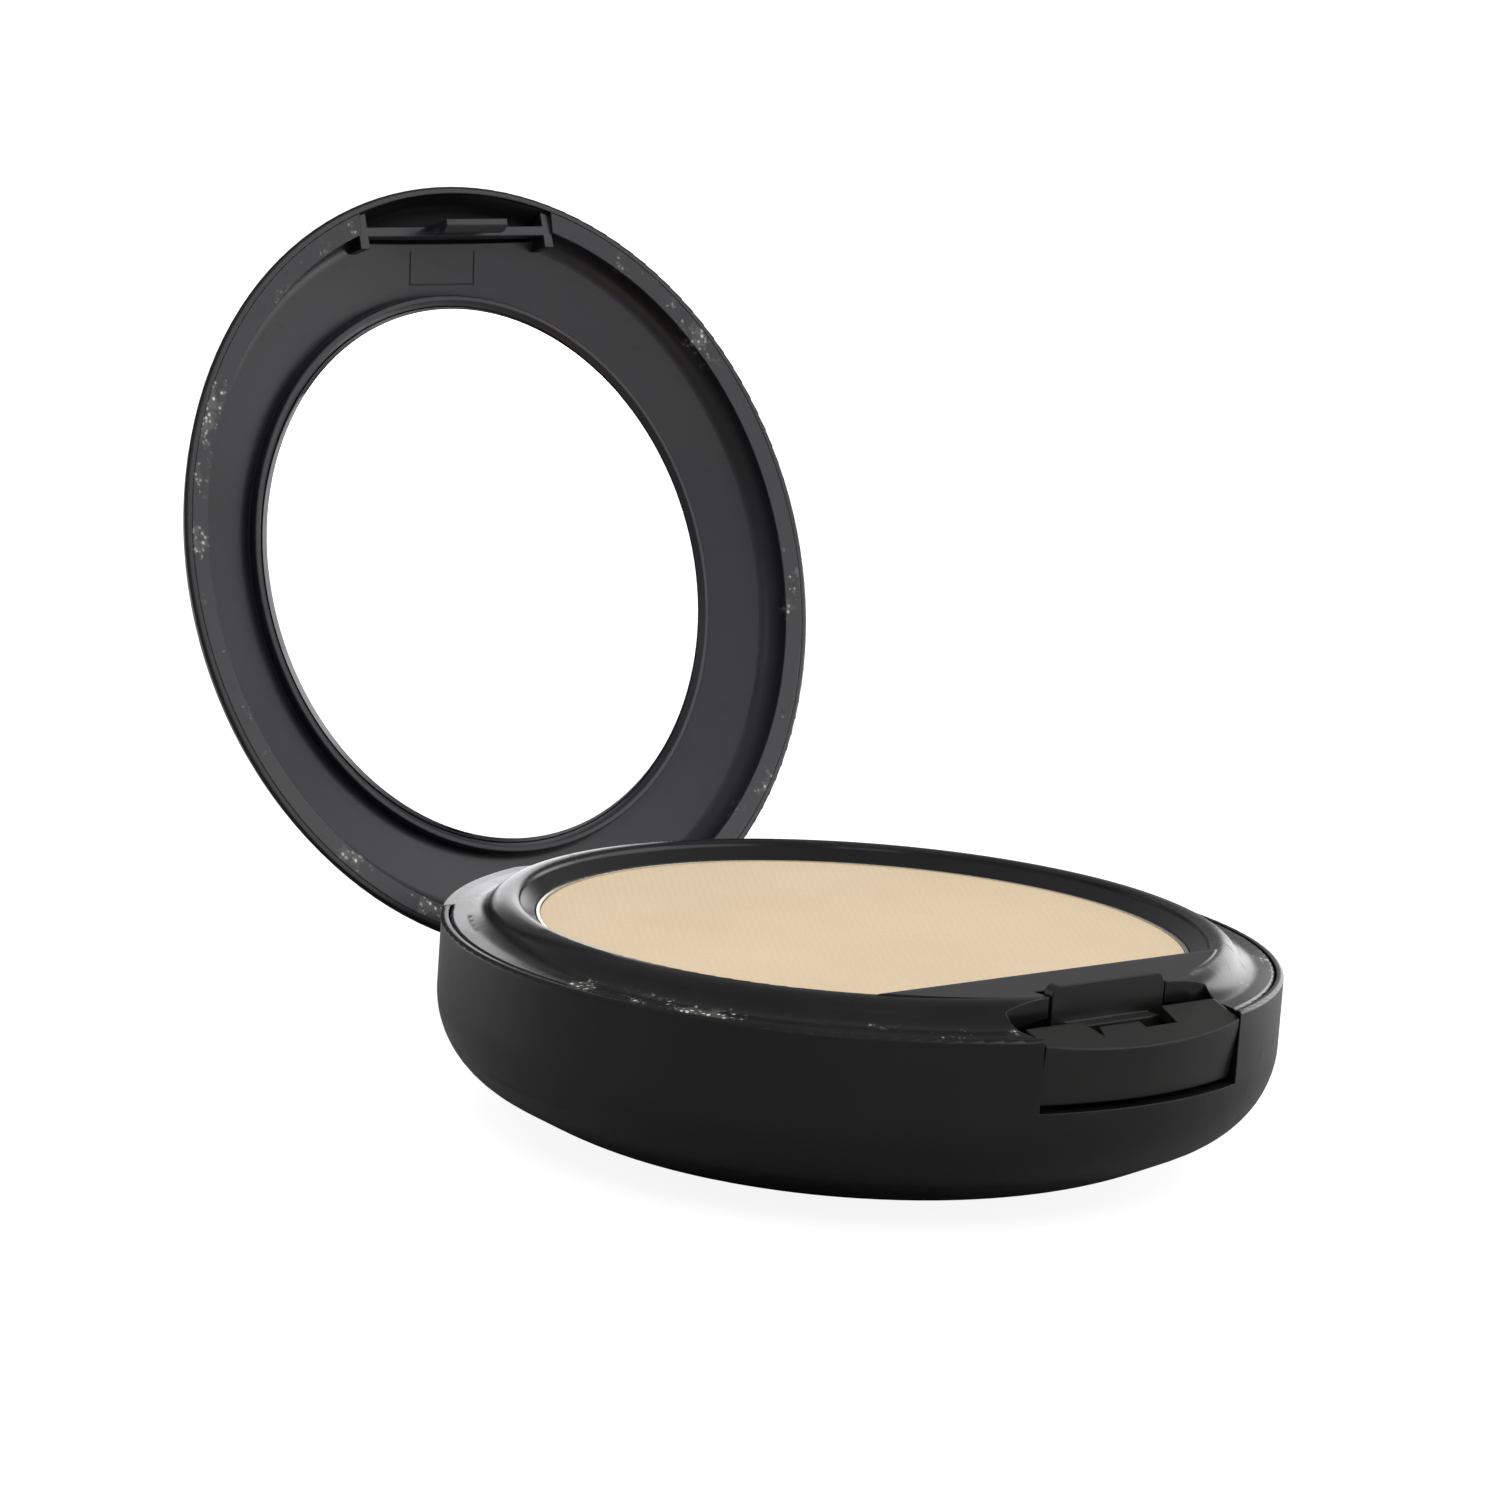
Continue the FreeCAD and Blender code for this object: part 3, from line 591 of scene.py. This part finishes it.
def cake_relief(x, y):
    """Depth of the face: a used hollow, slow unevenness and two families of thread marks."""
    away = (x - USED_PLACE[0]) ** 2 + (y - USED_PLACE[1]) ** 2
    hollow = USED_DEPTH * np.exp(-away / (2 * USED_SPREAD ** 2))
    slow = 0.012 * MM * (np.sin(210 * x + 1.3) * np.sin(170 * y) + np.sin(330 * y - 150 * x))
    wave = 2 * np.pi / IMPRINT_PITCH
    threads = np.cos(wave * (0.81 * x + 0.58 * y)) * np.cos(wave * (-0.58 * x + 0.81 * y))
    return IMPRINT_DEPTH * (threads - 1) - hollow + slow - 0.025 * MM


def make_powder_cake():
    turns = np.linspace(0, 2 * np.pi, 600, endpoint=False)
    reach = d_reach(turns, high[0] - CAKE_GAP, -low[1] - CAKE_GAP)
    share = np.linspace(0, 1, 151)[1:]
    face_r = share[:, None] * (reach - CAKE_EDGE)
    bend = np.linspace(0, np.pi / 2, 8)[1:]
    edge_r = reach - CAKE_EDGE + CAKE_EDGE * np.sin(bend)[:, None]
    side_r = np.stack([reach, reach * 0.5])
    radius = np.concatenate([face_r, edge_r, side_r])
    x, y = radius * np.cos(turns), radius * np.sin(turns)
    drop = np.concatenate([np.zeros(len(share)), CAKE_EDGE * (1 - np.cos(bend))])
    z = high[2] - drop[:, None] + cake_relief(x, y)[:len(drop)]
    z = np.concatenate([z, np.full((2, len(turns)), low[2] + CAKE_FOOT)])
    middle = float(high[2] + cake_relief(np.zeros(1), np.zeros(1))[0])
    return ring_surface("pressed_powder", np.stack([x, y, z], axis=-1), (0, 0, middle),
                        (0, 0, low[2] + CAKE_FOOT))


def make_powder_finish():
    material, tree, shader = new_material("pressed_powder_beige", Roughness=0.92, Specular_IOR_Level=0.15)
    place = object_place(tree)
    imprint = use_group(tree, CLOTH_IMPRINT, {"Place": place, "Threads per metre": 470.0})
    grains = put(tree, "ShaderNodeTexNoise", {"Vector": place, "Scale": 3200.0, "Detail": 4.0})
    cloud = put(tree, "ShaderNodeTexNoise", {"Vector": place, "Scale": 60.0, "Detail": 3.0})
    tone = put(tree, "ShaderNodeMath", {0: cloud.outputs["Fac"], 1: 0.5}, operation="MULTIPLY").outputs[0]
    tone = put(tree, "ShaderNodeMath", {0: grains.outputs["Fac"], 1: 0.5, 2: tone},
               operation="MULTIPLY_ADD").outputs[0]
    tone = put(tree, "ShaderNodeMath", {0: imprint["Tone"], 1: 0.12, 2: tone},
               operation="MULTIPLY_ADD").outputs[0]
    ramp = put(tree, "ShaderNodeValToRGB", {"Fac": tone})
    ramp.color_ramp.elements[0].position, ramp.color_ramp.elements[1].position = 0.3, 0.8
    ramp.color_ramp.elements[0].color = (0.500, 0.395, 0.268, 1)
    ramp.color_ramp.elements[1].color = (0.575, 0.465, 0.328, 1)
    bump = put(tree, "ShaderNodeBump", {"Height": imprint["Height"], "Strength": 0.5, "Distance": 0.00003})
    tree.links.new(ramp.outputs["Color"], shader.inputs["Base Color"])
    tree.links.new(bump.outputs["Normal"], shader.inputs["Normal"])
    return material


cake = make_powder_cake()
cake.data.materials.append(make_powder_finish())
finish(cake.data.materials[0], "powder_cake")
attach(cake, "tray")
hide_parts("powder_cake")

# %% [markdown]
# ## The puff
#
# The well under the tray holds a round velour puff: two soft faces with a foam core, sewn together
# round the edge. The stitches pull the side in, and the faces crown between them. The profile is a
# superellipse, and the seam is a narrow waist with one small pleat for each stitch.

# %% Puff
puff_low, puff_high = (np.array(corner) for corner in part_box("sponge"))
PUFF_SQUARE = 3.2             # fullness of the superellipse: 2 is an ellipse, more is boxier
SEAM_PULL = 1.1 * MM
STITCHES = 84


def make_puff():
    middle = (puff_low + puff_high) / 2
    half = (puff_high - puff_low) / 2 - 0.1 * MM
    turns = np.linspace(0, 2 * np.pi, 504, endpoint=False)
    lean = np.linspace(0, np.pi, 122)[1:-1, None]
    out, up = np.sin(lean), np.cos(lean)
    radius = half[0] * out ** (2 / PUFF_SQUARE) * np.ones_like(turns)
    height = half[2] * np.sign(up) * np.abs(up) ** (2 / PUFF_SQUARE)
    waist = np.exp(-(height / (0.9 * MM)) ** 2) * (out > 0.6)
    pleat = 0.16 * MM * np.cos(STITCHES * turns) * np.exp(-(height / (1.6 * MM)) ** 2) * (out > 0.6)
    radius = radius - SEAM_PULL * waist + pleat - 0.2 * MM
    x, y = radius * np.cos(turns), radius * np.sin(turns)
    lumps = 0.10 * MM * (np.sin(230 * x + 0.7) * np.sin(190 * y + 2.0) + 0.6 * np.sin(410 * x - 350 * y))
    z = middle[2] + height * (1 - 0.02 * out) + lumps * np.abs(up) * 0.8
    z = np.clip(z, puff_low[2] + 0.02 * MM, puff_high[2] - 0.02 * MM)
    rows = np.stack([x + middle[0], y + middle[1], z], axis=-1)
    return ring_surface("velour_puff", rows, (middle[0], middle[1], rows[0, :, 2].mean()),
                        (middle[0], middle[1], rows[-1, :, 2].mean()))


def make_velour():
    material, tree, shader = new_material("velour_ivory", Roughness=0.95, Specular_IOR_Level=0.15,
                                          Sheen_Weight=0.6, Sheen_Roughness=0.5)
    place = object_place(tree)
    pile = put(tree, "ShaderNodeTexNoise", {"Vector": place, "Scale": 4200.0, "Detail": 4.0,
                                            "Roughness": 0.7})
    brushed = put(tree, "ShaderNodeTexNoise", {"Vector": place, "Scale": 140.0, "Detail": 4.0,
                                               "Distortion": 1.2})
    used = put(tree, "ShaderNodeMath", {0: pile.outputs["Fac"], 1: 0.45}, operation="MULTIPLY").outputs[0]
    used = put(tree, "ShaderNodeMath", {0: brushed.outputs["Fac"], 1: 0.6, 2: used},
               operation="MULTIPLY_ADD").outputs[0]
    ramp = put(tree, "ShaderNodeValToRGB", {"Fac": used})
    ramp.color_ramp.elements[0].position, ramp.color_ramp.elements[1].position = 0.3, 0.75
    ramp.color_ramp.elements[0].color = (0.60, 0.47, 0.36, 1)
    ramp.color_ramp.elements[1].color = (0.83, 0.74, 0.63, 1)
    bump = put(tree, "ShaderNodeBump", {"Height": used, "Strength": 0.7, "Distance": 0.00012})
    tree.links.new(ramp.outputs["Color"], shader.inputs["Base Color"])
    tree.links.new(bump.outputs["Normal"], shader.inputs["Normal"])
    return material


puff = make_puff()
puff.data.materials.append(make_velour())
finish(puff.data.materials[0], "sponge")
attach(puff, "base")
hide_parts("sponge")
